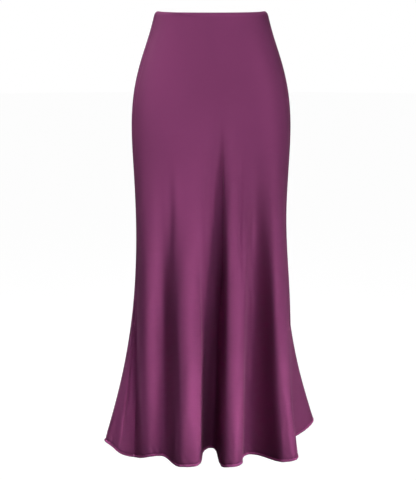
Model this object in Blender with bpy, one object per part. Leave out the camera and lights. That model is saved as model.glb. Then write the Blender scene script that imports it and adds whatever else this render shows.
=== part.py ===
"""Mermaid fishtail skirt, held at the waist: a hollow worn form of thin cloth walls.

The cloth is one loop around the body. A body section (a half width and two depths) is
known at each level down the cloth. A table of fold lines says where each line of the
loop passes at the knee and where it lands at the hem, seen from above. Every panel,
turned edge and hem is a wall on that one surface, so the pieces meet at their seams
with a small gap between them.

Axes: X to the wearer's left as seen from the front, Y to the back, Z up.
The origin is the middle of the waist opening, where a wearer holds the skirt.
"""

import bpy
import numpy as np

# ---------------------------------------------------------------- driving sizes, metres

MM = 0.001

CLOTH_LENGTH = 0.907            # waist edge to hem, measured along the cloth
FRONT_WAIST_DIP = 0.0025        # how far the waist line sinks at the front centre
BACK_WAIST_DIP = 0.008          # and at the back centre

PANEL_THICKNESS = 0.0012
WAIST_EDGE_THICKNESS = 0.0022   # the turned top edge, two layers and a seam allowance
WAIST_EDGE_HEIGHT = 0.007
HEM_THICKNESS = 0.0024          # the narrow rolled hem
HEM_HEIGHT = 0.006
SEAM_GAP = 0.0003               # clearance between pieces that are sewn together

COLUMNS_PER_FOLD_LINE = 3       # columns of faces between two fold lines
FINE_STEPS = 240                # steps down the cloth when its drop is added up
NORMAL_STEP_AROUND = 0.02       # small steps for the surface's direction
NORMAL_STEP_DOWN = 0.001

FRONT_FLATNESS = 0.045          # how much flatter than an ellipse the body's front is
BACK_FLATNESS = 0.02            # and its back
KNEE = 0.57                     # the level down of the fold lines' knee places

# Body sections, millimetres. "down" is measured along the cloth from the waist edge.
# (down, half width, front depth, back depth)
SECTIONS = (
    (0, 112, 86, 87),           # waist
    (40, 122, 91, 95),
    (100, 140.5, 98, 106),
    (165, 156, 102, 115),
    (235, 162, 105, 119),       # hip
    (320, 159.5, 104, 118),
    (450, 155.5, 103, 116),       # knee, the narrowest below the hip
    (560, 159, 104, 115),       # the flare starts
    (680, 167, 108, 117),
    (790, 177.5, 116, 124),
    (907, 194, 126, 134),       # hem
)

# Fold lines around the skirt, starting at the wearer's right side.
# (name, degrees around the body from the front centre, millimetres down where the
#  fold starts, knee x, knee y, hem x, hem y, extra cloth length, all millimetres)
FOLD_LINES = (
    ("right_side_tip", -98, 430, -156, -12, -217, -94, -5),
    ("right_side_flank", -86, 400, -157, -47, -207, -114, -3),
    ("crest_0", -76, 350, -155, -62, -187, -122, 4),
    ("right_seam", -68, 230, -151, -75, -161, -107, 10),
    ("crest_1_in", -58, 220, -143, -102, -144, -126, 4),
    ("crest_1", -50, 230, -130, -113, -128, -136, -3),
    ("crest_1_out", -41, 240, -113, -108.5, -112, -131, -6),
    ("trough_2", -33, 270, -97, -101, -96, -125, -4),
    ("wall_2", -26, 280, -83.5, -111, -82.5, -139, 1),
    ("crest_2_in", -21.5, 290, -71, -121.5, -70, -161, 3),
    ("crest_2", -17, 300, -57, -126, -57, -169, 2),
    ("crest_2_out", -11.5, 260, -34.5, -118, -33, -164, 2),
    ("trough_3_wall_in", -6.5, 320, -20, -98, -20.5, -139, 0),
    ("trough_3_left", -3.5, 280, -9, -82, -17, -84, 0),
    ("trough_3", 0, 210, 5, -70, -1, -60, 0),
    ("trough_3_right", 4.2, 180, 16, -73, 11, -77, 0),
    ("trough_3_wall_out", 7.2, 150, 22, -98, 15.5, -122, 0),
    ("crest_3_in", 10.4, 120, 28.5, -116, 22, -157, 4),
    ("crest_3", 14, 150, 39, -123, 36, -169, 2),
    ("crest_3_out", 19, 200, 62, -113.5, 58, -158.5, 2),
    ("trough_4_left", 24.5, 240, 73, -94, 65.5, -112, 2),
    ("trough_4", 30, 220, 86, -78.5, 84, -89, 4),
    ("wall_4", 36.5, 230, 105, -86, 112, -106, 5),
    ("crest_4_in", 44, 230, 120, -104, 138, -146, 3),
    ("crest_4", 52, 240, 133, -108, 158, -152, 4),
    ("crest_4_out", 62, 280, 149, -88, 178, -132, 3),
    ("left_seam", 76, 380, 161, -44, 171, -46, 0),
    ("left_side_flank", 94, 400, 161.5, 10, 193, 14, 3),
    ("left_side_tip", 108, 400, 155.5, 46, 227, 74, 0),
    ("crest_5_in", 121, 420, 139, 68, 194, 120, 0),
    ("crest_5_out", 133, 400, 119, 92, 150, 150, 0),
    ("trough_5_wall", 142, 380, 98, 97, 118, 130, 0),
    ("trough_5", 151, 360, 77, 93, 94, 98, 0),
    ("crest_6_wall", 160, 340, 55, 108, 68, 126, 0),
    ("crest_6_in", 169, 340, 34, 126, 46, 168, 0),
    ("crest_6_out", 179, 340, 6, 131, 12, 176, 0),
    ("trough_6_wall", 187, 340, -14, 113, -10, 132, 0),
    ("trough_6", 195, 340, -34, 98, -32, 96, 0),
    ("crest_7_wall", 204, 340, -57, 107, -56, 130, 0),
    ("crest_7_in", 212, 360, -76, 118, -80, 172, 0),
    ("crest_7_out", 222, 380, -102, 107, -114, 166, 0),
    ("trough_7", 232, 400, -124, 80, -138, 112, 0),
    ("crest_8", 245, 430, -147, 52, -201, 84, 0),
    ("trough_8", 254, 440, -153, 26, -189, 22, 0),
)

# Levels down the cloth where the panels have a row of points, millimetres.
PANEL_LEVELS = (50, 105, 165, 230, 310, 390, 470, 550, 635, 715, 785, 850)

SATIN_PLUM = (0.235, 0.049, 0.15, 1.0)
SATIN_ROUGHNESS = 0.5


# ---------------------------------------------------------------- the cloth's surface

def natural_spline(knots, values, at):
    """Value at each place in `at` of the smooth curve through (knots, values)."""
    knots = np.asarray(knots, float)
    values = np.asarray(values, float)
    count = len(knots)
    gaps = np.diff(knots)
    slopes = np.diff(values) / gaps
    matrix = np.eye(count)
    right = np.zeros(count)
    for i in range(1, count - 1):
        matrix[i, i - 1:i + 2] = gaps[i - 1], 2 * (gaps[i - 1] + gaps[i]), gaps[i]
        right[i] = 6 * (slopes[i] - slopes[i - 1])
    bend = np.linalg.solve(matrix, right)
    i = np.clip(np.searchsorted(knots, at) - 1, 0, count - 2)
    before = knots[i + 1] - at
    after = at - knots[i]
    cubic = (bend[i] * before ** 3 + bend[i + 1] * after ** 3) / (6 * gaps[i])
    left_line = (values[i] / gaps[i] - bend[i] * gaps[i] / 6) * before
    right_line = (values[i + 1] / gaps[i] - bend[i + 1] * gaps[i] / 6) * after
    return cubic + left_line + right_line


def loop_weights(around):
    """How much of each fold line is in each place around the loop.

    `around` counts fold lines, so 3.5 is half way from line 3 to line 4. The weights
    are those of a closed cubic spline, which keeps the loop smooth across its lines.
    """
    count = len(FOLD_LINES)
    line = np.eye(count)
    before = np.roll(line, -1, axis=1)
    after = np.roll(line, 1, axis=1)
    bend = np.linalg.solve(4 * line + before + after, 6 * (before + after) - 12 * line)
    first = np.floor(around).astype(int)
    share = (around - first)[:, None]
    this_line = first % count
    next_line = (first + 1) % count
    straight = (1 - share) * line[this_line] + share * line[next_line]
    curved = ((1 - share) ** 3 - (1 - share)) * bend[this_line]
    curved += (share ** 3 - share) * bend[next_line]
    return straight + curved / 6


def plain_loop(degrees, downs):
    """X and Y of the plain body section, one row for each level down, metres."""
    table = np.array(SECTIONS, float) * MM
    half_width, front, back = (natural_spline(table[:, 0], table[:, k], downs)[:, None] for k in (1, 2, 3))
    angle = np.radians(degrees)[None, :]
    in_front = np.cos(angle) > 0
    flat = np.where(in_front, FRONT_FLATNESS, BACK_FLATNESS)
    depth = np.where(in_front, front, back)
    x = half_width * (np.sin(angle) + flat * np.sin(3 * angle)) / (1 - flat)
    y = -depth * (np.cos(angle) - flat * np.cos(3 * angle)) / (1 - flat)
    return x, y


def fold_shares(downs, start):
    """Shares of each line's knee and hem offsets, one row for each level down.

    Down from its start a fold is a smooth curve with no kink: through its knee place
    and on to its hem place.
    """
    upper = KNEE - start
    lower = CLOTH_LENGTH - KNEE
    pull = 2 / upper + 1.5 / lower
    knee_slope = (3 / upper ** 2 - 1.5 / lower ** 2) / pull
    hem_slope = 1.5 / lower ** 2 / pull
    above = np.clip((downs[:, None] - start) / upper, 0, 1)
    below = np.clip((downs[:, None] - KNEE) / lower, 0, None)
    rise = above ** 2 * (3 - 2 * above)
    lean = above ** 2 * (above - 1) * upper
    fall = 1 - 1.5 * below ** 2 + 0.5 * below ** 3
    ease = (below - 1.5 * below ** 2 + 0.5 * below ** 3) * lower
    low = downs[:, None] > KNEE
    knee = np.where(low, fall + ease * knee_slope, rise + lean * knee_slope)
    hem = np.where(low, 1 - fall + ease * hem_slope, lean * hem_slope)
    return knee, hem


def plans_at(around, downs):
    """X and Y of the cloth seen from above, one row for each level down."""
    lines = np.array([line[1:] for line in FOLD_LINES], float)
    degrees, start, knee_x, knee_y, hem_x, hem_y = lines[:, :6].T
    even = degrees[0] + 360 * np.arange(len(FOLD_LINES)) / len(FOLD_LINES)
    weights = loop_weights(around)
    turned = degrees[0] + 360 * around / len(FOLD_LINES) + weights @ (degrees - even)
    x, y = plain_loop(turned, downs)
    plain_x, plain_y = plain_loop(degrees, np.array([KNEE, CLOTH_LENGTH]))
    knee, hem = fold_shares(downs, start * MM)
    shift_x = knee * (knee_x * MM - plain_x[0]) + hem * (hem_x * MM - plain_x[1])
    shift_y = knee * (knee_y * MM - plain_y[0]) + hem * (hem_y * MM - plain_y[1])
    return x + shift_x @ weights.T, y + shift_y @ weights.T


def cloth_points(around, levels):
    """Points of the cloth's middle surface, one row for each level.

    The cloth doesn't stretch: each step down its length that also goes sideways
    drops by that much less, so the hem rises where a fold swings out. The waist edge
    is level at the sides and lower at front and back.
    """
    levels = np.asarray(levels, float)
    fine = np.linspace(0, CLOTH_LENGTH + NORMAL_STEP_DOWN, FINE_STEPS)
    x, y = plans_at(around, fine)
    extra = loop_weights(around) @ np.array([line[7] for line in FOLD_LINES]) * MM
    step = np.diff(fine)[:, None] * (1 + extra / CLOTH_LENGTH)
    drop = np.sqrt(np.maximum(step ** 2 - np.diff(x, axis=0) ** 2 - np.diff(y, axis=0) ** 2, 0))
    front = -y[0] / (SECTIONS[0][2] * MM)
    dip = np.where(front > 0, FRONT_WAIST_DIP, BACK_WAIST_DIP)
    height = -dip * front ** 2 - np.vstack([np.zeros(len(around)), np.cumsum(drop, axis=0)])
    z = np.array([np.interp(levels, fine, column) for column in height.T]).T
    x, y = plans_at(around, levels)
    return np.stack([x, y, z], axis=2)


def cloth_directions(around, levels):
    """Unit vectors along the loop and out of the cloth, at each point."""
    levels = np.asarray(levels, float)
    ahead = cloth_points(around + NORMAL_STEP_AROUND, levels)
    behind = cloth_points(around - NORMAL_STEP_AROUND, levels)
    lower = cloth_points(around, levels + NORMAL_STEP_DOWN)
    upper = cloth_points(around, np.maximum(levels - NORMAL_STEP_DOWN, 0))
    along = ahead - behind
    along /= np.linalg.norm(along, axis=2, keepdims=True)
    outward = np.cross(along, upper - lower)
    outward /= np.linalg.norm(outward, axis=2, keepdims=True)
    return along, outward


# ---------------------------------------------------------------- pieces as closed walls

def fold_line_number(name):
    """Place around the loop of a named fold line."""
    return [line[0] for line in FOLD_LINES].index(name)


def wall(name, first_line, last_line, levels, thickness):
    """A closed wall of cloth between two fold lines and between the given levels."""
    columns = (last_line - first_line) * COLUMNS_PER_FOLD_LINE + 1
    around = np.linspace(first_line, last_line, columns)
    middle = cloth_points(around, levels)
    along, outward = cloth_directions(around, levels)
    middle[:, 0] += along[:, 0] * SEAM_GAP / 2
    middle[:, -1] -= along[:, -1] * SEAM_GAP / 2
    outer = middle + outward * thickness / 2
    inner = middle - outward * thickness / 2
    return closed_mesh(name, outer, inner)


def closed_mesh(name, outer, inner):
    """One object whose skins are two grids of points, joined around their rims."""
    rows, columns = outer.shape[:2]
    points = np.concatenate([outer.reshape(-1, 3), inner.reshape(-1, 3)])
    inner_start = rows * columns

    def corner(row, column):
        return row * columns + column

    faces = []
    for row in range(rows - 1):
        for column in range(columns - 1):
            cell = (corner(row, column), corner(row + 1, column),
                    corner(row + 1, column + 1), corner(row, column + 1))
            faces.append(cell)
            faces.append(tuple(inner_start + index for index in reversed(cell)))
    rim = [corner(0, column) for column in range(columns)]
    rim += [corner(row, columns - 1) for row in range(1, rows)]
    rim += [corner(rows - 1, column) for column in range(columns - 2, -1, -1)]
    rim += [corner(row, 0) for row in range(rows - 2, 0, -1)]
    for index, start in enumerate(rim):
        end = rim[(index + 1) % len(rim)]
        faces.append((start, end, inner_start + end, inner_start + start))

    mesh = bpy.data.meshes.new(name)
    mesh.from_pydata(points.tolist(), [], faces)
    mesh.update()
    piece = bpy.data.objects.new(name, mesh)
    bpy.context.scene.collection.objects.link(piece)
    return piece


def satin(name):
    """Plum satin, a material of its own for each piece."""
    material = bpy.data.materials.new(name)
    material.use_nodes = True
    shader = material.node_tree.nodes["Principled BSDF"]
    shader.inputs["Base Color"].default_value = SATIN_PLUM
    shader.inputs["Roughness"].default_value = SATIN_ROUGHNESS
    shader.inputs["Metallic"].default_value = 0.0
    return material


def build_side(side, first_line, last_line):
    """The panel of one side with its turned waist edge and its hem."""
    waist_levels = (0.0, WAIST_EDGE_HEIGHT)
    hem_levels = (CLOTH_LENGTH - HEM_HEIGHT, CLOTH_LENGTH)
    panel_levels = [WAIST_EDGE_HEIGHT + SEAM_GAP]
    panel_levels += [level * MM for level in PANEL_LEVELS]
    panel_levels += [CLOTH_LENGTH - HEM_HEIGHT - SEAM_GAP]
    plans = (
        (side + "_panel", panel_levels, PANEL_THICKNESS),
        (side + "_waist_edge", waist_levels, WAIST_EDGE_THICKNESS),
        (side + "_hem", hem_levels, HEM_THICKNESS),
    )
    for name, levels, thickness in plans:
        piece = wall(name, first_line, last_line, levels, thickness)
        piece.data.materials.append(satin(name + "_satin"))


def main():
    for leftover in list(bpy.data.objects):
        bpy.data.objects.remove(leftover)
    right_seam = fold_line_number("right_seam")
    left_seam = fold_line_number("left_seam")
    build_side("front", right_seam, left_seam)
    build_side("back", left_seam, right_seam + len(FOLD_LINES))


main()
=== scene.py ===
"""Looks of the mermaid fishtail skirt: draped satin panels, rolled edges and a plain stage.

The cloth is one loop of fold lines around a general figure. Each fold line is known by
its place around the body and by where it lands at the hem, so every panel, rolled edge
and row of stitches is laid on the same hanging surface and they meet at their seams.

Axes: X to the wearer's left, Y to the back, Z up. The origin is the middle of the waist.
"""

import math

import bpy
import numpy as np
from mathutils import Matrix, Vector


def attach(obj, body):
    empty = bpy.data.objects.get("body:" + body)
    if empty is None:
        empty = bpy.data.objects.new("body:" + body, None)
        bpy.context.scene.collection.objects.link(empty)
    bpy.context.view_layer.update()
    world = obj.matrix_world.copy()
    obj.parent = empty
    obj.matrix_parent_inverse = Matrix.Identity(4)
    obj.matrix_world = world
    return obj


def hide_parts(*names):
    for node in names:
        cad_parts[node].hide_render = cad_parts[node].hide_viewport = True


bl_info = {
    "name": "Mermaid Fishtail Skirt",
    "version": (1, 0, 0),
    "blender": (4, 5, 0),
    "location": "View3D > Sidebar > Skirt",
    "description": "Lays satin panels, rolled edges and stitches on a hanging skirt",
    "category": "Object",
}

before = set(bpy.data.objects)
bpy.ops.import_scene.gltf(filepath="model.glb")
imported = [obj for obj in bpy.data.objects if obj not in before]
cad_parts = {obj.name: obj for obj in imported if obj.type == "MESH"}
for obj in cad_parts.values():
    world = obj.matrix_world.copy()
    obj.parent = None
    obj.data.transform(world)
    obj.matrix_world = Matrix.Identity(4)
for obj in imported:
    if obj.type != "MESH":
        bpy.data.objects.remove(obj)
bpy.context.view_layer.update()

BODY = "root"
SIDES = ("front", "back")
MM = 0.001

# ---------------------------------------------------------------- the skirt's own tables

# Body sections in millimetres; "down" is measured along the cloth from the waist edge.
# (down, half width, front depth, back depth)
SECTIONS = (
    (0, 112, 86, 87),           # waist
    (40, 122, 91, 95),
    (100, 140.5, 98, 106),
    (165, 156, 102, 115),
    (235, 162, 105, 119),       # hip
    (320, 159.5, 104, 118),
    (450, 155.5, 103, 116),     # knee, the narrowest below the hip
    (560, 159, 104, 115),       # the flare starts
    (680, 167, 108, 117),
    (790, 177.5, 116, 124),
    (907, 194, 126, 134),       # hem
)
FRONT_FLATNESS = 0.045          # how much flatter than an ellipse the front is
BACK_FLATNESS = 0.02            # and the back

# Fold lines around the skirt, starting at the wearer's right side.
# (name, degrees around the body from the front centre, millimetres down where the
#  fold starts, knee x, knee y, hem x, hem y, extra cloth length, all millimetres)
FOLD_LINES = (
    ("right_side_tip", -98, 430, -156, -12, -217, -94, -5),
    ("right_side_flank", -86, 400, -157, -47, -207, -114, -3),
    ("crest_0", -76, 350, -155, -62, -187, -122, 4),
    ("right_seam", -68, 230, -151, -75, -161, -107, 10),
    ("crest_1_in", -58, 220, -143, -102, -144, -126, 4),
    ("crest_1", -50, 230, -130, -113, -128, -136, -3),
    ("crest_1_out", -41, 240, -113, -108.5, -112, -131, -6),
    ("trough_2", -33, 270, -97, -101, -96, -125, -4),
    ("wall_2", -26, 280, -83.5, -111, -82.5, -139, 1),
    ("crest_2_in", -21.5, 290, -71, -121.5, -70, -161, 3),
    ("crest_2", -17, 300, -57, -126, -57, -169, 2),
    ("crest_2_out", -11.5, 260, -34.5, -118, -33, -164, 2),
    ("trough_3_wall_in", -6.5, 320, -20, -98, -20.5, -139, 0),
    ("trough_3_left", -3.5, 280, -9, -82, -17, -84, 0),
    ("trough_3", 0, 210, 5, -70, -1, -60, 0),
    ("trough_3_right", 4.2, 180, 16, -73, 11, -77, 0),
    ("trough_3_wall_out", 7.2, 150, 22, -98, 15.5, -122, 0),
    ("crest_3_in", 10.4, 120, 28.5, -116, 22, -157, 4),
    ("crest_3", 14, 150, 39, -123, 36, -169, 2),
    ("crest_3_out", 19, 200, 62, -113.5, 58, -158.5, 2),
    ("trough_4_left", 24.5, 240, 73, -94, 65.5, -112, 2),
    ("trough_4", 30, 220, 86, -78.5, 84, -89, 4),
    ("wall_4", 36.5, 230, 105, -86, 112, -106, 5),
    ("crest_4_in", 44, 230, 120, -104, 138, -146, 3),
    ("crest_4", 52, 240, 133, -108, 158, -152, 4),
    ("crest_4_out", 62, 280, 149, -88, 178, -132, 3),
    ("left_seam", 76, 380, 161, -44, 171, -46, 0),
    ("left_side_flank", 94, 400, 161.5, 10, 193, 14, 3),
    ("left_side_tip", 108, 400, 155.5, 46, 227, 74, 0),
    ("crest_5_in", 121, 420, 139, 68, 194, 120, 0),
    ("crest_5_out", 133, 400, 119, 92, 150, 150, 0),
    ("trough_5_wall", 142, 380, 98, 97, 118, 130, 0),
    ("trough_5", 151, 360, 77, 93, 94, 98, 0),
    ("crest_6_wall", 160, 340, 55, 108, 68, 126, 0),
    ("crest_6_in", 169, 340, 34, 126, 46, 168, 0),
    ("crest_6_out", 179, 340, 6, 131, 12, 176, 0),
    ("trough_6_wall", 187, 340, -14, 113, -10, 132, 0),
    ("trough_6", 195, 340, -34, 98, -32, 96, 0),
    ("crest_7_wall", 204, 340, -57, 107, -56, 130, 0),
    ("crest_7_in", 212, 360, -76, 118, -80, 172, 0),
    ("crest_7_out", 222, 380, -102, 107, -114, 166, 0),
    ("trough_7", 232, 400, -124, 80, -138, 112, 0),
    ("crest_8", 245, 430, -147, 52, -201, 84, 0),
    ("trough_8", 254, 440, -153, 26, -189, 22, 0),
)
KNEE = 0.57                     # how far down the fold lines' knee places are, metres
LINE_COUNT = len(FOLD_LINES)

# Soft creases on top of the folds, each listed one by one.
# (fold line it starts from, share of the way to the next line, mm down at its middle,
#  half width mm, half length mm, slant in mm across for each mm down,
#  height mm: below zero for a trough)
SOFT_CREASES = (
    # beside the front folds, from the wearer's right to the left
    ("crest_0", 0.3, 800, 8, 210, 0.0, -6.0),
    ("trough_2", 0.9, 420, 9, 170, 0.0, -3.2),
    ("crest_2_in", 0.25, 770, 8, 200, 0.0, -1.5),
    ("crest_2", 0.45, 720, 10, 250, 0.0, 1.8),
    ("crest_2_out", 0.65, 700, 9, 270, 0.0, 3.0),
    ("trough_3_right", 0.25, 420, 8.5, 260, 0.0, -14.0),
    ("crest_3_in", 0.4, 410, 9, 210, 0.0, 2.6),
    ("crest_3", 0.9, 440, 4.5, 200, 0.0, -4.0),
    ("crest_3_out", 0.35, 830, 9, 230, 0.0, 3.0),
    ("trough_4", 0.2, 430, 13, 200, 0.0, -4.0),
    # slight ones on the front
    ("crest_1_in", 0.6, 330, 9, 110, -0.04, 0.5),
    ("crest_1", 0.5, 640, 8, 120, 0.02, -0.4),
    ("crest_2", 0.2, 560, 9, 150, 0.03, 0.5),
    ("crest_2_out", 0.7, 105, 22, 34, 0.0, -0.6),
    ("crest_3", 0.1, 92, 20, 30, 0.0, -0.5),
    ("crest_4_in", 0.3, 350, 8, 130, 0.11, 0.8),
    ("crest_4", 0.5, 385, 5, 70, 0.05, -0.5),
    # slight ones on the back
    ("left_side_flank", 0.3, 430, 10, 90, 0.05, -0.7),
    ("crest_5_out", 0.4, 390, 6, 140, -0.03, -0.8),
    ("crest_6_wall", 0.5, 110, 21, 36, 0.0, -0.6),
    ("crest_6_out", 0.3, 450, 6, 150, 0.02, -0.7),
    ("trough_6", 0.4, 96, 23, 32, 0.0, -0.5),
    ("crest_7_in", 0.5, 370, 9, 120, -0.08, 0.8),
    ("crest_7_out", 0.6, 600, 8, 110, 0.03, 0.5),
    ("crest_8", 0.4, 400, 9, 90, 0.04, -0.6),
)
CREASE_FADE = 1.5               # how quickly a crease fades towards its ends

# Fine relief, in metres unless it says otherwise.
SEAM_HALF_WIDTH = 0.0022        # half the width of the dip along a side seam
GROOVE_HALF_WIDTH = 0.0018      # half the width of the groove along the hem stitches
ROLL_REACH = 0.01               # how far down from the top the waist roll starts
PUCKER_LENGTH = 0.0165          # from one hem ripple to the next
PUCKER_REACH = 0.022            # how far above the hem the ripples fade out
PUCKER_SLANT = 260              # their slant, in radians for each metre above the hem
WANDER = 1.3                    # radians by which the ripples draw together and apart
WANDER_LENGTH = 0.071           # from one place where they draw together to the next
SWELL = (0.6, 0.4, 0.8)         # how they grow and shrink: middle, reach, start in radians
SWELL_LENGTH = 0.113            # from one place where they are fullest to the next

# The hem roll's outline, as shares of half its thickness, out of the cloth, and of its
# height above the fold.
HEM_OUTLINE = (
    (0.3, 1.0), (0.5, 0.96), (0.5, 0.86), (0.8, 0.74), (1.0, 0.55), (1.05, 0.38),
    (0.9, 0.2), (0.55, 0.07), (0.0, 0.0), (-0.55, 0.07), (-0.9, 0.22), (-1.0, 0.45),
    (-0.9, 0.75), (-0.6, 0.95), (-0.3, 1.0),
)
STREAK_SHARE = 0.35             # how much the yarns' streaks add to the drift of shade
HEM_PAINTED_HIGHLIGHT = 1.55                 # how much lighter the hem's satin is painted: a painted highlight for the light that its rolled edge catches
HEM_GRAIN = 30.0                # degrees that its yarns are turned
WAIST_PROUD = 0.0001            # how far the waist roll stands out from the panel, metres

# Hem stitches, in metres where they aren't shares.
STITCH_WIDTH = 0.0009
STITCH_DEPTH = 0.0004
STITCH_LEVEL = 0.9              # share of the hem's height where the row runs
STITCH_SEAT = 0.5               # share of the hem's half thickness that it lies on
STITCH_LIFT = 0.00008           # clearance above the cloth
STITCH_MARGIN = 0.002           # free hem next to a side seam
THREAD_PAINTED_SHADE = 0.2               # share of the satin's shade colour in the thread's dark bands: painted shade between the plies
THREAD_PAINTED_HIGHLIGHT = 0.35             # share of the satin's own colour in its light bands: a painted highlight on top of the plies

# How finely things are worked out.
FINE_STEPS = 600                # steps down the cloth when its drop is added up
HEM_STEPS = 24                  # steps from one fold line to the next along the hem
STITCH_STEPS = 4000             # places tried when the stitches are spaced
STEP_AROUND = 0.02              # small steps for the surface's direction: in fold lines
STEP_DOWN = 0.001               # and in metres
ROW_CROWDING = 0.5              # how much the rows crowd at a panel's top and bottom
MERGE_DISTANCE = 0.00001        # points closer than this are one point, metres
SMOOTH_DEGREES = 50             # a sharper edge than this stays sharp
# Extra columns next to a seam, in fold lines from it, and extra rows, metres above the hem roll.
SEAM_COLUMNS = (0.012, 0.028, 0.05)
GROOVE_ROWS = (0.0042, 0.0032, 0.0023, 0.0015, 0.0008, 0.0001)

# Soft lights. Each stands on a circle around the skirt and points at one place of it.
# (name, degrees round from the camera's side, height m, distance m, width m,
#  the place it points at: x, y and z m, spread in degrees, watts)
LIGHTS = (
    ("high_front", 20, 0.9, 1.2, 0.5, (0, 0, -0.45), 180, 11.0),
    ("high_right", 60, 0.9, 1.2, 0.5, (0, 0, -0.45), 180, 2.1),
    ("left_rim", -110, 0.9, 1.2, 0.5, (0, 0, -0.45), 180, 7.5),
    ("waist_left", -105, 0.12, 1.0, 0.2, (-0.13, 0, -0.10), 16, 0.02),
    ("hip_side", -70, 0.1, 2.0, 0.4, (0, 0, -0.12), 18, 0.09),
    ("hip_left", -50, 0.1, 2.0, 0.4, (0, 0, -0.12), 18, 0.152),
    ("hip_front", -25, 0.1, 2.0, 0.4, (0, 0, -0.12), 18, 0.104),
    ("thigh_front", 0, -0.2, 2.0, 0.2, (-0.09, -0.1, -0.36), 9, 0.052),
    ("thigh_right", 50, 0.1, 2.0, 0.4, (0, 0, -0.30), 14, 0.151),
    ("outer_crest", -10, -0.5, 2.0, 0.15, (-0.15, -0.1, -0.66), 6, 0.009),
    ("outer_crest_right", 50, -0.4, 2.0, 0.15, (-0.125, -0.12, -0.50), 6, 0.009),
    ("knee_crest", 20, -0.4, 2.0, 0.15, (-0.04, -0.12, -0.55), 8, 0.012),
    ("knee_crest_right", 45, -0.4, 2.0, 0.15, (-0.04, -0.12, -0.55), 8, 0.013),
    ("knee_front", 30, 0.4, 2.0, 0.4, (0, 0, -0.72), 20, 0.094),
    ("knee_right", 60, 0.4, 2.0, 0.4, (0, 0, -0.72), 20, 0.224),
    ("low_key", 45, -0.8, 2.0, 0.3, (0, 0, -0.78), 22, 0.182),
    ("low_fill", 0, -0.8, 2.0, 0.3, (0, 0, -0.78), 22, 0.03),
    ("low_side", 95, -0.8, 2.0, 0.3, (0, 0, -0.78), 22, 0.072),
    ("crest_key", 50, -0.7, 2.0, 0.15, (-0.03, -0.15, -0.72), 8, 0.0175),
    ("flare_left", -75, -0.8, 2.0, 0.2, (-0.215, -0.09, -0.82), 5, 0.012),
    ("flare_front", 0, -0.8, 2.0, 0.2, (-0.205, -0.11, -0.82), 6, 0.033),
    ("flare_right", 65, -0.8, 2.0, 0.2, (-0.205, -0.11, -0.82), 6, 0.048),
    ("hem_right", 60, -1.0, 0.7, 0.4, (0, 0, -0.70), 120, 0.44),
    ("low_left", -105, -0.5, 2.0, 0.4, (-0.15, 0, -0.70), 17, 0.16),
    ("high_back", 180, 0.9, 1.2, 0.5, (0, 0, -0.45), 180, 10.0),
    ("hip_back", 180, 0.1, 2.0, 0.4, (0, 0, -0.12), 18, 0.2),
    ("thigh_back", 180, 0.1, 2.0, 0.4, (0, 0, -0.30), 14, 0.2),
    ("knee_back", 180, 0.4, 2.0, 0.4, (0, 0, -0.72), 20, 0.3),
    ("low_back", 175, -0.8, 2.0, 0.4, (0, 0, -0.78), 22, 0.4),
)

FLOOR_RADIUS = 12.0             # metres
FLOOR_PAINT = 0.12              # share of its colour that the lights bring out
FLOOR_GLOW = 0.98               # strength of its own even white
ROOM_LIGHT = 0.002              # how strongly the white surroundings light the cloth
ROOM_SHINE = 0.065              # and how strongly they shine on it
CAMERA_PLACE = (-0.0063, -2.5, 0.02)    # metres
CAMERA_AIM = (-0.0063, 0, -0.471)
CAMERA_LENS = 91.5              # millimetres, as is the sensor's width
CAMERA_SENSOR = 36


def line_number(name):
    """Place around the loop of a named fold line."""
    return [line[0] for line in FOLD_LINES].index(name)


SIDE_LINES = {
    "front": (line_number("right_seam"), line_number("left_seam")),
    "back": (line_number("left_seam"), line_number("right_seam") + LINE_COUNT),
}


# ---------------------------------------------------------------- settings

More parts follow.
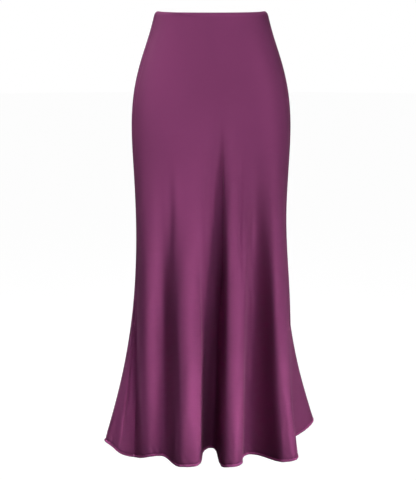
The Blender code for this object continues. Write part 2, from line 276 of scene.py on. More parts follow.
class SkirtClothSettings(bpy.types.PropertyGroup):
    """Sizes of the cloth and of its turned edges."""

    length: bpy.props.FloatProperty(
        name="Cloth length", description="Waist edge to hem, measured along the cloth",
        default=0.907, min=0.3, max=1.5, unit="LENGTH")
    front_dip: bpy.props.FloatProperty(
        name="Front dip", description="How far the waist line sinks at the front centre",
        default=0.0025, min=0.0, max=0.03, unit="LENGTH")
    back_dip: bpy.props.FloatProperty(
        name="Back dip", description="How far the waist line sinks at the back centre",
        default=0.008, min=0.0, max=0.03, unit="LENGTH")
    thickness: bpy.props.FloatProperty(
        name="Panel thickness", description="Thickness of the satin wall",
        default=0.0012, min=0.0005, max=0.003, unit="LENGTH")
    seam_gap: bpy.props.FloatProperty(
        name="Seam gap", description="Clearance between pieces that are sewn together",
        default=0.0001, min=0.0, max=0.001, unit="LENGTH")
    lap: bpy.props.FloatProperty(
        name="Lap", description="How far a panel's top and bottom reach into the turned edges",
        default=0.001, min=0.0, max=0.003, unit="LENGTH")
    seam_sink: bpy.props.FloatProperty(
        name="Seam sink", description="How far the cloth dips into a side seam",
        default=0.0007, min=0.0, max=0.002, unit="LENGTH")
    waist_height: bpy.props.FloatProperty(
        name="Waist edge height", description="Height of the turned top edge",
        default=0.007, min=0.003, max=0.02, unit="LENGTH")
    waist_thickness: bpy.props.FloatProperty(
        name="Waist edge thickness", description="Thickness of the turned top edge",
        default=0.0022, min=0.001, max=0.005, unit="LENGTH")
    waist_roll: bpy.props.FloatProperty(
        name="Waist roll", description="How far the very top of the cloth rolls inwards",
        default=0.0045, min=0.0, max=0.008, unit="LENGTH")
    hem_height: bpy.props.FloatProperty(
        name="Hem height", description="Height of the narrow rolled hem",
        default=0.006, min=0.003, max=0.02, unit="LENGTH")
    hem_thickness: bpy.props.FloatProperty(
        name="Hem thickness", description="Thickness of the rolled hem at its fullest",
        default=0.0027, min=0.001, max=0.005, unit="LENGTH")
    hem_groove: bpy.props.FloatProperty(
        name="Hem groove", description="Depth of the groove that the hem stitches draw",
        default=0.0012, min=0.0, max=0.002, unit="LENGTH")
    pucker: bpy.props.FloatProperty(
        name="Hem pucker", description="Depth of the small ripples that the hem stitching draws up",
        default=0.0005, min=0.0, max=0.002, unit="LENGTH")
    crease_share: bpy.props.FloatProperty(
        name="Crease depth", description="Share of the soft creases' own depth",
        default=1.0, min=0.0, max=2.0, subtype="FACTOR")
    stitch_length: bpy.props.FloatProperty(
        name="Stitch length", description="Length of one stitch of the hem row",
        default=0.0024, min=0.001, max=0.005, unit="LENGTH")
    stitch_pitch: bpy.props.FloatProperty(
        name="Stitch pitch", description="Distance from one stitch to the next",
        default=0.0031, min=0.0015, max=0.006, unit="LENGTH")
    columns: bpy.props.IntProperty(
        name="Columns per fold line", description="Columns of faces between two fold lines",
        default=11, min=2, max=20)
    rows: bpy.props.IntProperty(
        name="Rows", description="Rows of faces down a panel",
        default=170, min=20, max=300)


class SkirtSatinSettings(bpy.types.PropertyGroup):
    """Colour and finish of the satin."""

    colour: bpy.props.FloatVectorProperty(
        name="Satin colour", description="Colour of the cloth in even light",
        default=(0.235, 0.043, 0.146), size=3, min=0.0, max=1.0, subtype="COLOR")
    shade: bpy.props.FloatVectorProperty(
        name="Shade colour", description="Slightly deeper colour that drifts through the cloth",
        default=(0.222, 0.04, 0.137), size=3, min=0.0, max=1.0, subtype="COLOR")
    roughness: bpy.props.FloatProperty(
        name="Roughness", description="Roughness of the satin face",
        default=0.5, min=0.05, max=1.0, subtype="FACTOR")
    glow: bpy.props.FloatProperty(
        name="Satin glow", description="Share of the shine that has the floats' own colour",
        default=0.15, min=0.0, max=1.0, subtype="FACTOR")
    gloss: bpy.props.FloatProperty(
        name="Gloss", description="Strength of the reflection on top of the yarn colour",
        default=0.02, min=0.0, max=1.0, subtype="FACTOR")
    bloom: bpy.props.FloatProperty(
        name="Bloom", description="Broad, colourless shine of the smooth floats",
        default=0.15, min=0.0, max=1.0, subtype="FACTOR")
    sheen: bpy.props.FloatProperty(
        name="Sheen", description="Soft glow of the fibres at a flat angle",
        default=0.1, min=0.0, max=1.0, subtype="FACTOR")
    yarn_width: bpy.props.FloatProperty(
        name="Yarn width", description="Width of one warp yarn in the satin face",
        default=0.0004, min=0.0001, max=0.002, unit="LENGTH")
    weave_depth: bpy.props.FloatProperty(
        name="Weave depth", description="Strength of the weave's relief",
        default=0.12, min=0.0, max=1.0, subtype="FACTOR")


class SkirtStageSettings(bpy.types.PropertyGroup):
    """Floor, lights and camera."""

    floor_drop: bpy.props.FloatProperty(
        name="Floor drop", description="Distance from the waist down to the floor",
        default=1.04, min=0.95, max=2.0, unit="LENGTH")
    floor_colour: bpy.props.FloatVectorProperty(
        name="Floor colour", description="Colour of the plain pale floor",
        default=(0.9, 0.9, 0.9), size=3, min=0.0, max=1.0, subtype="COLOR")
    light_share: bpy.props.FloatProperty(
        name="Light share", description="Share of the studio lights' own power",
        default=1.0, min=0.0, max=4.0, subtype="FACTOR")


# ---------------------------------------------------------------- the hanging cloth

def natural_spline(knots, values, at):
    """Value at each place in `at` of the smooth curve through (knots, values)."""
    count = len(knots)
    gaps = np.diff(knots)
    slopes = np.diff(values) / gaps
    matrix = np.eye(count)
    right = np.zeros(count)
    for i in range(1, count - 1):
        matrix[i, i - 1:i + 2] = gaps[i - 1], 2 * (gaps[i - 1] + gaps[i]), gaps[i]
        right[i] = 6 * (slopes[i] - slopes[i - 1])
    bend = np.linalg.solve(matrix, right)
    i = np.clip(np.searchsorted(knots, at) - 1, 0, count - 2)
    before = knots[i + 1] - at
    after = at - knots[i]
    cubic = (bend[i] * before ** 3 + bend[i + 1] * after ** 3) / (6 * gaps[i])
    left_line = (values[i] / gaps[i] - bend[i] * gaps[i] / 6) * before
    right_line = (values[i + 1] / gaps[i] - bend[i + 1] * gaps[i] / 6) * after
    return cubic + left_line + right_line


def loop_weights(around):
    """How much of each fold line is in each place around the loop.

    `around` counts fold lines, so 3.5 is half way from line 3 to line 4. The weights
    are those of a closed cubic spline, which keeps the loop smooth across its lines.
    """
    line = np.eye(LINE_COUNT)
    neighbours = np.roll(line, -1, axis=1) + np.roll(line, 1, axis=1)
    bend = np.linalg.solve(4 * line + neighbours, 6 * neighbours - 12 * line)
    first = np.floor(around).astype(int)
    share = (around - first)[:, None]
    this_line = first % LINE_COUNT
    next_line = (first + 1) % LINE_COUNT
    straight = (1 - share) * line[this_line] + share * line[next_line]
    curved = ((1 - share) ** 3 - (1 - share)) * bend[this_line]
    curved += (share ** 3 - share) * bend[next_line]
    return straight + curved / 6


def body_sections(downs):
    """Half width, front depth and back depth of the figure at each level, metres."""
    table = np.array(SECTIONS, float) * MM
    return [natural_spline(table[:, 0], table[:, k], downs) for k in (1, 2, 3)]


def plain_loop(degrees, downs):
    """X and Y of the plain body section, one row for each level."""
    half_width, front, back = (part[:, None] for part in body_sections(downs))
    angle = np.radians(degrees)[None, :]
    in_front = np.cos(angle) > 0
    flat = np.where(in_front, FRONT_FLATNESS, BACK_FLATNESS)
    depth = np.where(in_front, front, back)
    x = half_width * (np.sin(angle) + flat * np.sin(3 * angle)) / (1 - flat)
    y = -depth * (np.cos(angle) - flat * np.cos(3 * angle)) / (1 - flat)
    return x, y


def fold_shares(cloth, downs, start):
    """Shares of each line's knee and hem offsets at each level down.

    Down from its start a fold is a smooth curve with no kink: through its knee place
    and on to its hem place.
    """
    upper = KNEE - start
    lower = cloth.length - KNEE
    pull = 2 / upper + 1.5 / lower
    knee_slope = (3 / upper ** 2 - 1.5 / lower ** 2) / pull
    hem_slope = 1.5 / lower ** 2 / pull
    above = np.clip((downs[:, None] - start) / upper, 0, 1)
    below = np.clip((downs[:, None] - KNEE) / lower, 0, None)
    rise = above ** 2 * (3 - 2 * above)
    lean = above ** 2 * (above - 1) * upper
    knee_above = rise + lean * knee_slope
    hem_above = lean * hem_slope
    fall = 1 - 1.5 * below ** 2 + 0.5 * below ** 3
    ease = (below - 1.5 * below ** 2 + 0.5 * below ** 3) * lower
    low = downs[:, None] > KNEE
    knee = np.where(low, fall + ease * knee_slope, knee_above)
    hem = np.where(low, 1 - fall + ease * hem_slope, hem_above)
    return knee, hem


def plans_at(cloth, around, downs):
    """X and Y of the cloth seen from above, one row for each level down."""
    lines = np.array([line[1:] for line in FOLD_LINES], float)
    degrees, start, knee_x, knee_y, hem_x, hem_y = lines[:, :6].T
    even = degrees[0] + 360 * np.arange(LINE_COUNT) / LINE_COUNT
    weights = loop_weights(around)
    turned = degrees[0] + 360 * around / LINE_COUNT + weights @ (degrees - even)
    x, y = plain_loop(turned, downs)
    plain_x, plain_y = plain_loop(degrees, np.array([KNEE, cloth.length]))
    knee, hem = fold_shares(cloth, downs, start * MM)
    shift_x = knee * (knee_x * MM - plain_x[0]) + hem * (hem_x * MM - plain_x[1])
    shift_y = knee * (knee_y * MM - plain_y[0]) + hem * (hem_y * MM - plain_y[1])
    return x + shift_x @ weights.T, y + shift_y @ weights.T


def hanging_points(cloth, around, downs):
    """Points of the plain hanging surface, one row for each level.

    The cloth doesn't stretch: each step down its length that also goes sideways
    drops by that much less, so the hem rises where a fold swings out.
    """
    fine = np.linspace(0, cloth.length + STEP_DOWN, FINE_STEPS)
    x, y = plans_at(cloth, around, fine)
    extra = loop_weights(around) @ np.array([line[7] for line in FOLD_LINES]) * MM
    step = np.diff(fine)[:, None] * (1 + extra / cloth.length)
    drop = np.sqrt(np.maximum(step ** 2 - np.diff(x, axis=0) ** 2 - np.diff(y, axis=0) ** 2, 0))
    front = -y[0] / (SECTIONS[0][2] * MM)
    dip = np.where(front > 0, cloth.front_dip, cloth.back_dip)
    height = -dip * front ** 2 - np.vstack([np.zeros(len(around)), np.cumsum(drop, axis=0)])
    place = np.clip(downs / fine[1], 0, FINE_STEPS - 1.001)
    first = place.astype(int)
    share = (place - first)[:, None]
    z = height[first] * (1 - share) + height[first + 1] * share
    x, y = plans_at(cloth, around, downs)
    return np.stack([x, y, z], axis=2)


def unit(vectors):
    """The vectors at length one."""
    return vectors / np.linalg.norm(vectors, axis=-1, keepdims=True)


def hanging_directions(cloth, around, downs):
    """Unit vectors along the loop, down the cloth and out of it, at each point."""
    ahead = hanging_points(cloth, around + STEP_AROUND, downs)
    behind = hanging_points(cloth, around - STEP_AROUND, downs)
    lower = hanging_points(cloth, around, downs + STEP_DOWN)
    upper = hanging_points(cloth, around, np.maximum(downs - STEP_DOWN, 0))
    along = unit(ahead - behind)
    outward = unit(np.cross(along, upper - lower))
    return along, np.cross(along, outward), outward


def loop_offset(around, line):
    """Fold lines from one place of the loop to each other place, the short way round."""
    return (around - line + LINE_COUNT / 2) % LINE_COUNT - LINE_COUNT / 2


def loop_spacing(cloth, line, downs):
    """Length of cloth for one fold line's step at one place of the loop, metres."""
    half = 0.25
    x, y = plans_at(cloth, np.array([line - half, line + half]), downs)
    return np.hypot(x[:, 1] - x[:, 0], y[:, 1] - y[:, 0]) / (2 * half)


def hem_distance(cloth, around):
    """Length along the hem from its first fold line to each place, metres."""
    fine = np.linspace(0, 2 * LINE_COUNT, 2 * LINE_COUNT * HEM_STEPS + 1)
    x, y = plans_at(cloth, fine, np.array([cloth.length]))
    steps = np.hypot(np.diff(x[0]), np.diff(y[0]))
    return np.interp(around, fine, np.concatenate([[0], np.cumsum(steps)]))


def crease_relief(cloth, around, downs):
    """How far the soft creases push the cloth out, one row for each level."""
    relief = np.zeros((len(downs), len(around)))
    for name, share, middle, half_width, half_length, slant, height in SOFT_CREASES:
        line = line_number(name) + share
        spacing = loop_spacing(cloth, line, np.array([middle * MM]))
        along = downs[:, None] - middle * MM
        across = loop_offset(around, line) * spacing - slant * along
        length = np.clip(np.abs(along) / (half_length * MM), 0, 1)
        fade = (0.5 + 0.5 * np.cos(math.pi * length)) ** CREASE_FADE
        relief += height * MM * np.exp(-(across / (half_width * MM)) ** 2) * fade
    return relief * cloth.crease_share


def seam_relief(cloth, around, downs):
    """How far the cloth dips into its two side seams."""
    relief = np.zeros((len(downs), len(around)))
    for line in SIDE_LINES["front"]:
        distance = loop_offset(around, line) * loop_spacing(cloth, line, downs)[:, None]
        relief -= cloth.seam_sink * np.exp(-(distance / SEAM_HALF_WIDTH) ** 2)
    return relief


def pucker_relief(cloth, around, downs):
    """The small ripples that hem stitching draws up, fading out above the hem."""
    turns = hem_distance(cloth, around) * 2 * math.pi
    above = (cloth.length - downs)[:, None]
    wander = WANDER * np.sin(turns / WANDER_LENGTH)
    ripples = np.sin(turns / PUCKER_LENGTH + above * PUCKER_SLANT + wander)
    strength = np.exp(-(above / PUCKER_REACH) ** 2)
    middle, reach, start = SWELL
    swell = middle + reach * np.sin(turns / SWELL_LENGTH + start)
    return cloth.pucker * strength * ripples * swell


def hem_relief(cloth, around, downs):
    """The narrow groove along the row of hem stitches."""
    above = (cloth.length - downs)[:, None]
    groove = np.exp(-((above - cloth.hem_height) / GROOVE_HALF_WIDTH) ** 2)
    return -cloth.hem_groove * groove * np.ones(len(around))


def waist_relief(cloth, around, downs):
    """The soft inward roll of the top edge."""
    share = np.clip(1 - downs / ROLL_REACH, 0, 1)[:, None] ** 2
    return -cloth.waist_roll * share * np.ones(len(around))


def cloth_surface(cloth, around, downs):
    """Middle of the cloth with all its relief, and its three directions."""
    points = hanging_points(cloth, around, downs)
    along, down, outward = hanging_directions(cloth, around, downs)
    reliefs = (crease_relief, seam_relief, pucker_relief, hem_relief, waist_relief)
    relief = sum(one_relief(cloth, around, downs) for one_relief in reliefs)
    return points + outward * relief[..., None], along, down, outward


# ---------------------------------------------------------------- making pieces

def deselect_all():
    """Leaves nothing selected, so that an operator acts on its own piece only."""
    if bpy.context.object and bpy.context.object.mode != "OBJECT":
        bpy.ops.object.mode_set(mode="OBJECT")
    bpy.ops.object.select_all(action="DESELECT")


def select_only(piece):
    """Selects one piece and makes it the active one."""
    deselect_all()
    bpy.context.view_layer.objects.active = piece
    piece.select_set(True)


def side_columns(cloth, side):
    """Places around the loop of a side's columns, closer together next to its seams."""
    first, last = SIDE_LINES[side]
    even = np.linspace(first, last, (last - first) * cloth.columns + 1)
    near = np.array(SEAM_COLUMNS)
    return np.sort(np.concatenate([even, first + near, last - near]))


def panel_rows(cloth):
    """Levels of a panel's rows, closer together at the waist edge and at the hem."""
    top = cloth.waist_height - cloth.lap
    bottom = cloth.length - cloth.hem_height + cloth.lap
    share = np.linspace(0, 1, cloth.rows + 1)
    crowded = share - ROW_CROWDING / (2 * math.pi) * np.sin(2 * math.pi * share)
    groove = bottom - cloth.lap - np.array(GROOVE_ROWS)
    return np.sort(np.concatenate([top + (bottom - top) * crowded, groove]))


def new_grid(name, columns, rows):
    """A flat grid primitive with `columns` by `rows` faces and a UV map, named as a piece."""
    deselect_all()
    bpy.ops.mesh.primitive_grid_add(x_subdivisions=columns, y_subdivisions=rows, size=1,
                                    location=(0, 0, 0))
    piece = bpy.context.object
    piece.name = name
    piece.data.name = name
    return piece


def lay_grid(piece, points, flat):
    """Moves a grid's vertices onto rows of points, and its UV map onto their flat layout."""
    rows, columns = points.shape[0] - 1, points.shape[1] - 1
    mesh = piece.data
    place = np.empty(len(mesh.vertices) * 3)
    mesh.vertices.foreach_get("co", place)
    place = place.reshape(-1, 3)
    column = np.rint((place[:, 0] + 0.5) * columns).astype(int)
    row = np.rint((0.5 - place[:, 1]) * rows).astype(int)
    mesh.vertices.foreach_set("co", points[row, column].ravel())
    corner = np.empty(len(mesh.loops), dtype=np.int32)
    mesh.loops.foreach_get("vertex_index", corner)
    uv = flat[row, column][corner].astype(np.float32)
    mesh.uv_layers[0].uv.foreach_set("vector", uv.ravel())
    mesh.update()


def open_seams(points, along, gap):
    """Draws the first and the last column in from their seams by half the gap."""
    points[:, 0] += along[:, 0] * gap / 2
    points[:, -1] -= along[:, -1] * gap / 2


def flat_layout(points, downs):
    """Places of the points on the flat cloth: across from the middle, and up, metres."""
    steps = np.linalg.norm(np.diff(points, axis=1), axis=2)
    across = np.concatenate([np.zeros((len(downs), 1)), np.cumsum(steps, axis=1)], axis=1)
    across -= across[:, -1:] / 2
    return np.stack([across, -np.repeat(downs[:, None], points.shape[1], axis=1)], axis=2)


def finish_piece(piece, replaced, material):
    """Smooth shading, the finish, and what the piece rides on and stands for."""
    select_only(piece)
    bpy.ops.object.shade_smooth_by_angle(angle=math.radians(SMOOTH_DEGREES))
    piece.data.materials.clear()
    piece.data.materials.append(material)
    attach(piece, BODY)
    if replaced:
        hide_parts(replaced)


def close_roll(piece):
    """Joins a rolled grid's long edges, closes its ends and turns its faces outwards."""
    select_only(piece)
    bpy.ops.object.mode_set(mode="EDIT")
    bpy.ops.mesh.select_mode(type="VERT")
    bpy.ops.mesh.select_all(action="SELECT")
    bpy.ops.mesh.remove_doubles(threshold=MERGE_DISTANCE)
    bpy.ops.mesh.select_all(action="DESELECT")
    bpy.ops.mesh.select_non_manifold()
    bpy.ops.mesh.fill_holes(sides=0)
    bpy.ops.mesh.select_all(action="SELECT")
    bpy.ops.mesh.normals_make_consistent(inside=False)
    bpy.ops.object.mode_set(mode="OBJECT")


def rolled_edge(cloth, side, name, profile, level):
    """A closed roll along a side's edge, which follows the hanging cloth.

    The profile is a loop of (out of the cloth, below the level) in metres.
    """
    around = side_columns(cloth, side)
    loop = list(profile) + [profile[0]]
    out, below = np.array(loop).T
    points, along, _, outward = cloth_surface(cloth, around, level + below)
    rows = points + outward * out[:, None, None]
    open_seams(rows, along, cloth.seam_gap)
    lengths = np.hypot(*np.diff(np.array(loop), axis=0).T)
    girth = np.concatenate([[0], np.cumsum(lengths)])
    distance = hem_distance(cloth, around)
    flat = np.stack(np.broadcast_arrays(distance[None, :], girth[:, None]), axis=2)
    piece = new_grid(name, len(around) - 1, len(loop) - 1)
    lay_grid(piece, rows, flat)
    close_roll(piece)
    return piece


# ---------------------------------------------------------------- finishes

def set_sockets(node, values):
    """Gives the named sockets of a node their values."""
    for name, value in values.items():
        node.inputs[name].default_value = value


def add_node(tree, kind, place, sockets=None, **settings):
    """Adds a shader node at a place in the tree, with its settings and sockets."""
    node = tree.nodes.new(kind)
    node.location = place
    for name, value in settings.items():
        setattr(node, name, value)
    set_sockets(node, sockets or {})
    return node


def new_material(name):
    """A new material, its node tree and its shader."""
    material = bpy.data.materials.new(name)
    material.use_nodes = True
    tree = material.node_tree
    return material, tree, tree.nodes["Principled BSDF"]


def colour_ramp(tree, place, dark, light):
    """Adds a ramp between two (position, colour) pairs."""
    ramp = add_node(tree, "ShaderNodeValToRGB", place)
    for element, (position, colour) in zip(ramp.color_ramp.elements, (dark, light)):
        element.position = position
        element.color = (*colour, 1)
    return ramp


def satin_finish(name, satin, painted_highlight=1.0, grain_degrees=45.0):
    """Plum satin: fine slanting yarns, a slow drift of shade and a soft, low gloss.

    Its colours are multiplied by the given factor, which above one paints them lighter as a painted
    highlight, and the grain turns its yarns.
    """
    material, tree, shader = new_material(name)
    link = tree.links.new
    set_sockets(shader, {
        "Specular IOR Level": satin.gloss,
        "Sheen Weight": satin.sheen,
        "Sheen Roughness": 0.4,
        "Sheen Tint": (*satin.colour, 1),
        "Metallic": satin.glow,
        "Coat Weight": satin.bloom,
        "Coat Roughness": 1.0,
        "Coat IOR": 2.5,
    })

    place = add_node(tree, "ShaderNodeTexCoord", (-1500, 0))
    grain = add_node(tree, "ShaderNodeMapping", (-1300, 0),
                     {"Rotation": (0, 0, math.radians(grain_degrees))})
    link(place.outputs["UV"], grain.inputs["Vector"])

    # A wave texture's bands are pi / 10 apart at scale 1.
    yarns = add_node(tree, "ShaderNodeTexWave", (-1050, -250), {
        "Scale": math.pi / 10 / satin.yarn_width,
        "Distortion": 1.2,
        "Detail": 1.0,
        "Detail Scale": 0.4,
    }, bands_direction="X")
    link(grain.outputs["Vector"], yarns.inputs["Vector"])

    streak_map = add_node(tree, "ShaderNodeMapping", (-1050, 100), {"Scale": (900, 45, 1)})
    link(grain.outputs["Vector"], streak_map.inputs["Vector"])
    streaks = add_node(tree, "ShaderNodeTexNoise", (-850, 100), {"Scale": 1.0, "Detail": 3.0})
    link(streak_map.outputs["Vector"], streaks.inputs["Vector"])

    drift = add_node(tree, "ShaderNodeTexNoise", (-850, 350), {"Scale": 7.0, "Detail": 2.0})
    link(place.outputs["Object"], drift.inputs["Vector"])

    blend = add_node(tree, "ShaderNodeMath", (-620, 250), operation="MULTIPLY_ADD")
    blend.inputs[1].default_value = STREAK_SHARE
    link(streaks.outputs["Fac"], blend.inputs[0])
    link(drift.outputs["Fac"], blend.inputs[2])
    # painted highlight: with a factor above one both colours are painted lighter
    shades = colour_ramp(tree, (-420, 250), (0.45, painted_highlight * Vector(satin.shade)),
                         (0.9, painted_highlight * Vector(satin.colour)))
    link(blend.outputs["Value"], shades.inputs["Fac"])
    link(shades.outputs["Color"], shader.inputs["Base Color"])

    rough = add_node(tree, "ShaderNodeMapRange", (-420, 0), {
        "To Min": satin.roughness - 0.05,
        "To Max": satin.roughness + 0.05,
    })
    link(streaks.outputs["Fac"], rough.inputs["Value"])
    link(rough.outputs["Result"], shader.inputs["Roughness"])

    relief = add_node(tree, "ShaderNodeBump", (-420, -250), {
        "Strength": satin.weave_depth,
        "Distance": satin.yarn_width / 4,
    })
    link(yarns.outputs["Fac"], relief.inputs["Height"])
    link(relief.outputs["Normal"], shader.inputs["Normal"])
    return material


def thread_finish(name, satin):
    """Dark plum sewing thread whose twist bands are painted shade between the plies and a painted
    highlight on top of them.
    """
    material, tree, shader = new_material(name)
    link = tree.links.new
    set_sockets(shader, {
        "Specular IOR Level": 0.1,
        "Sheen Weight": satin.sheen,
        "Sheen Tint": (*satin.colour, 1),
    })
    place = add_node(tree, "ShaderNodeTexCoord", (-900, 0))
    twist = add_node(tree, "ShaderNodeTexWave", (-700, 0), {"Scale": 900},
                     bands_direction="DIAGONAL")
    link(place.outputs["Object"], twist.inputs["Vector"])
    # painted shade between the plies and a painted highlight on their tops, in bands along the
    # twist
    painted_ply_bands = colour_ramp(tree, (-450, 100), (0.0, THREAD_PAINTED_SHADE * Vector(satin.shade)),
                        (1.0, THREAD_PAINTED_HIGHLIGHT * Vector(satin.colour)))
    link(twist.outputs["Fac"], painted_ply_bands.inputs["Fac"])
    link(painted_ply_bands.outputs["Color"], shader.inputs["Base Color"])
    rough = add_node(tree, "ShaderNodeMapRange", (-450, -150), {"To Min": 0.5, "To Max": 0.65})
    link(twist.outputs["Fac"], rough.inputs["Value"])
    link(rough.outputs["Result"], shader.inputs["Roughness"])
    return material


def looking_at(place, aim):
    """Rotation of a light or a camera that stands at a place and points at another."""
    return (Vector(aim) - Vector(place)).to_track_quat("-Z", "Y").to_euler()


# ---------------------------------------------------------------- operators

class SKIRT_OT_panels(bpy.types.Operator):
    """Lay the front and back panels of satin from the waist edge to the hem"""

    bl_idname = "skirt.panels"
    bl_label = "Satin Panels"

    def execute(self, context):
        cloth = context.scene.skirt_cloth
        satin = context.scene.skirt_satin
        for side in SIDES:
            around = side_columns(cloth, side)
            downs = panel_rows(cloth)
            points, along, _, _ = cloth_surface(cloth, around, downs)
            open_seams(points, along, cloth.seam_gap)
            panel = new_grid(side + "_satin_panel", len(around) - 1, len(downs) - 1)
            lay_grid(panel, points, flat_layout(points, downs))
            wall = panel.modifiers.new("cloth wall", "SOLIDIFY")
            wall.thickness = cloth.thickness
            wall.offset = 0.0
            bpy.ops.object.modifier_apply(modifier=wall.name)
            finish_piece(panel, side + "_panel",
                         satin_finish(side + "_panel_satin", satin))
        return {"FINISHED"}


class SKIRT_OT_waist_edges(bpy.types.Operator):
    """Turn the top edge of each panel over into a flat, rounded roll"""

    bl_idname = "skirt.waist_edges"
    bl_label = "Waist Edges"

    def execute(self, context):
        cloth = context.scene.skirt_cloth
        satin = context.scene.skirt_satin
        outside = cloth.thickness / 2 + WAIST_PROUD
        inside = outside - cloth.waist_thickness
        middle = (outside + inside) / 2
        radius = cloth.waist_thickness / 2
        straight = cloth.waist_height - radius
        profile = [(outside, share * straight + radius) for share in (1, 0.66, 0.33, 0)]
        for degrees in (30, 60, 90, 120, 150):
            turn = math.radians(degrees)
            profile.append((middle + radius * math.cos(turn), radius * (1 - math.sin(turn))))
        profile += [(inside, share * straight + radius) for share in (0, 0.5, 1)]
        for side in SIDES:
            edge = rolled_edge(cloth, side, side + "_waist_roll", profile, 0.0)
            finish_piece(edge, side + "_waist_edge",
                         satin_finish(side + "_waist_satin", satin))
        return {"FINISHED"}


class SKIRT_OT_hems(bpy.types.Operator):
    """Roll the narrow hem under along the bottom of each panel"""

    bl_idname = "skirt.hems"
    bl_label = "Rolled Hems"

    def execute(self, context):
        cloth = context.scene.skirt_cloth
        satin = context.scene.skirt_satin
        half = cloth.hem_thickness / 2
        height = cloth.hem_height
        profile = [(half * out, -height * above) for out, above in HEM_OUTLINE]
        for side in SIDES:
            hem = rolled_edge(cloth, side, side + "_hem_roll", profile, cloth.length)
            finish_piece(hem, side + "_hem",
                         # the hem's satin is painted lighter, a painted highlight along the rolled
                         # edge
                         satin_finish(side + "_hem_painted_highlight_satin", satin, HEM_PAINTED_HIGHLIGHT, HEM_GRAIN))
        return {"FINISHED"}


class SKIRT_OT_hem_stitches(bpy.types.Operator):
    """Sew a row of small stitches along the top of each rolled hem"""

    bl_idname = "skirt.hem_stitches"
    bl_label = "Hem Stitches"

    def execute(self, context):
        cloth = context.scene.skirt_cloth
        thread = thread_finish("hem_thread", context.scene.skirt_satin)
        level = np.array([cloth.length - cloth.hem_height * STITCH_LEVEL])
        lift = cloth.hem_thickness / 2 * STITCH_SEAT + STITCH_LIFT
        for side in SIDES:
            around = self.stitch_places(cloth, side)
            points, along, down, outward = (
                part[0] for part in cloth_surface(cloth, around, level))
            stitch = self.one_stitch(cloth)
            one = np.array([vertex.co[:] for vertex in stitch.data.vertices])
            faces = [list(face.vertices) for face in stitch.data.polygons]
            bpy.ops.object.delete()
            axes = np.stack([along, -down, outward], axis=1)    # right-handed
            seats = points + outward * lift
            copies = seats[:, None, :] + np.einsum("vk,skj->svj", one, axes)
            all_faces = [[corner + number * len(one) for corner in face]
                         for number in range(len(around)) for face in faces]
            mesh = bpy.data.meshes.new(side + "_hem_stitches")
            mesh.from_pydata(copies.reshape(-1, 3).tolist(), [], all_faces)
            row = bpy.data.objects.new(side + "_hem_stitches", mesh)
            context.scene.collection.objects.link(row)
            finish_piece(row, None, thread)
        return {"FINISHED"}

    @staticmethod
    def stitch_places(cloth, side):
        """Places around the loop of a side's stitches, evenly spaced along its hem."""
        first, last = SIDE_LINES[side]
        start, end = hem_distance(cloth, np.array([first, last], float))
        count = int((end - start - STITCH_MARGIN) / cloth.stitch_pitch)
        middles = start + STITCH_MARGIN + cloth.stitch_pitch * (np.arange(count) + 0.5)
        fine = np.linspace(first, last, STITCH_STEPS)
        return np.interp(middles, hem_distance(cloth, fine), fine)

    @staticmethod
    def one_stitch(cloth):
        """One stitch: a flattened bead of thread, pinched at its ends."""
        deselect_all()
        bpy.ops.mesh.primitive_uv_sphere_add(segments=6, ring_count=4, radius=0.5,
                                             location=(0, 0, 0))
        stitch = bpy.context.object
        size = (cloth.stitch_length, STITCH_WIDTH, STITCH_DEPTH)
        bpy.ops.object.mode_set(mode="EDIT")
        bpy.ops.transform.rotate(value=math.pi / 2, orient_axis="Y", center_override=(0, 0, 0))
        bpy.ops.transform.resize(value=size, center_override=(0, 0, 0))
        bpy.ops.object.mode_set(mode="OBJECT")
        return stitch


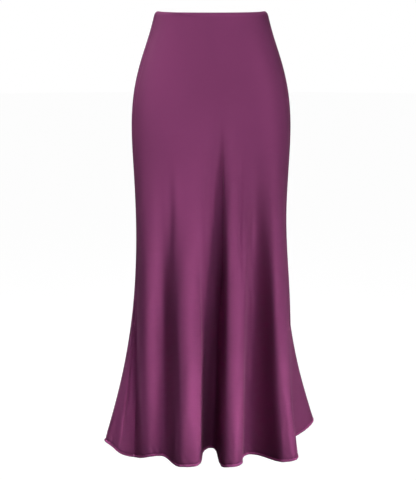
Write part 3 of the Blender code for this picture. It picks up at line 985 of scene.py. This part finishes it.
class SKIRT_OT_stage(bpy.types.Operator):
    """Set the pale floor, the soft studio lights and the camera"""

    bl_idname = "skirt.stage"
    bl_label = "Stage"

    def execute(self, context):
        stage = context.scene.skirt_stage
        self.add_floor(stage)
        for name, degrees, height, distance, width, aim, spread, watts in LIGHTS:
            self.add_light(name, degrees, height, distance, width, aim, spread,
                           watts * stage.light_share)
        self.add_world(context.scene)
        self.add_camera(context.scene)
        return {"FINISHED"}

    @staticmethod
    def add_floor(stage):
        """A wide pale floor that stays almost white, with only a faint shadow."""
        deselect_all()
        bpy.ops.mesh.primitive_circle_add(vertices=96, radius=FLOOR_RADIUS, fill_type="NGON",
                                          location=(0, 0, -stage.floor_drop))
        floor = bpy.context.object
        floor.name = "floor"
        paper, _, shader = new_material("pale_floor")
        set_sockets(shader, {
            "Base Color": (*(FLOOR_PAINT * Vector(stage.floor_colour)), 1),
            "Specular IOR Level": 0.0,
            "Roughness": 1.0,
            "Emission Color": (1, 1, 1, 1),
            "Emission Strength": FLOOR_GLOW,
        })
        floor.data.materials.append(paper)
        floor.visible_diffuse = False
        floor.visible_glossy = False

    @staticmethod
    def add_light(name, degrees, height, distance, width, aim, spread, watts):
        """A square soft light that points at one place of the skirt."""
        turn = math.radians(degrees)
        place = (distance * math.sin(turn), -distance * math.cos(turn), height)
        bpy.ops.object.light_add(type="AREA", location=place, rotation=looking_at(place, aim))
        light = bpy.context.object
        light.name = name
        light.data.shape = "SQUARE"
        light.data.size = width
        light.data.spread = math.radians(spread)
        light.data.energy = watts
        light.visible_camera = False

    @staticmethod
    def add_world(scene):
        """White surroundings for the eye, and only a faint shine of them on the satin."""
        world = bpy.data.worlds.new("white_surround")
        scene.world = world
        world.use_nodes = True
        tree = world.node_tree
        glow = tree.nodes["Background"]
        set_sockets(glow, {"Color": (1, 1, 1, 1)})
        rays = add_node(tree, "ShaderNodeLightPath", (-500, 0))
        strength = add_node(tree, "ShaderNodeMapRange", (-250, 0),
                            {"To Min": ROOM_LIGHT, "To Max": 1.0})
        tree.links.new(rays.outputs["Is Camera Ray"], strength.inputs["Value"])
        shine = add_node(tree, "ShaderNodeMath", (-100, -200), operation="MULTIPLY_ADD")
        shine.inputs[1].default_value = ROOM_SHINE
        tree.links.new(rays.outputs["Is Glossy Ray"], shine.inputs[0])
        tree.links.new(strength.outputs["Result"], shine.inputs[2])
        tree.links.new(shine.outputs["Value"], glow.inputs["Strength"])
        scene.view_settings.view_transform = "Standard"

    @staticmethod
    def add_camera(scene):
        """A long lens at waist height that looks at the middle of the skirt's front."""
        bpy.ops.object.camera_add(location=CAMERA_PLACE,
                                  rotation=looking_at(CAMERA_PLACE, CAMERA_AIM))
        camera = bpy.context.object
        camera.name = "camera"
        camera.data.sensor_width = CAMERA_SENSOR
        camera.data.lens = CAMERA_LENS
        scene.camera = camera


class VIEW3D_PT_skirt(bpy.types.Panel):
    """Lists the skirt's settings and the steps that make it"""

    bl_idname = "VIEW3D_PT_skirt"
    bl_label = "Mermaid Fishtail Skirt"
    bl_space_type = "VIEW_3D"
    bl_region_type = "UI"
    bl_category = "Skirt"

    def draw(self, context):
        layout = self.layout
        scene = context.scene
        for settings in (scene.skirt_cloth, scene.skirt_satin, scene.skirt_stage):
            box = layout.box()
            for name in settings.__annotations__:
                box.prop(settings, name)
        for step in STEPS:
            layout.operator(step.bl_idname)


STEPS = (SKIRT_OT_panels, SKIRT_OT_waist_edges, SKIRT_OT_hems, SKIRT_OT_hem_stitches,
         SKIRT_OT_stage)
CLASSES = (SkirtClothSettings, SkirtSatinSettings, SkirtStageSettings, *STEPS, VIEW3D_PT_skirt)


def register():
    """Adds the settings, the steps and the panel to Blender."""
    for part in CLASSES:
        bpy.utils.register_class(part)
    bpy.types.Scene.skirt_cloth = bpy.props.PointerProperty(type=SkirtClothSettings)
    bpy.types.Scene.skirt_satin = bpy.props.PointerProperty(type=SkirtSatinSettings)
    bpy.types.Scene.skirt_stage = bpy.props.PointerProperty(type=SkirtStageSettings)


def unregister():
    """Takes them out again."""
    del bpy.types.Scene.skirt_stage
    del bpy.types.Scene.skirt_satin
    del bpy.types.Scene.skirt_cloth
    for part in reversed(CLASSES):
        bpy.utils.unregister_class(part)


def main():
    """Makes the skirt and its stage."""
    register()
    bpy.ops.skirt.panels()
    bpy.ops.skirt.waist_edges()
    bpy.ops.skirt.hems()
    bpy.ops.skirt.hem_stitches()
    bpy.ops.skirt.stage()


if __name__ == "__main__":
    main()
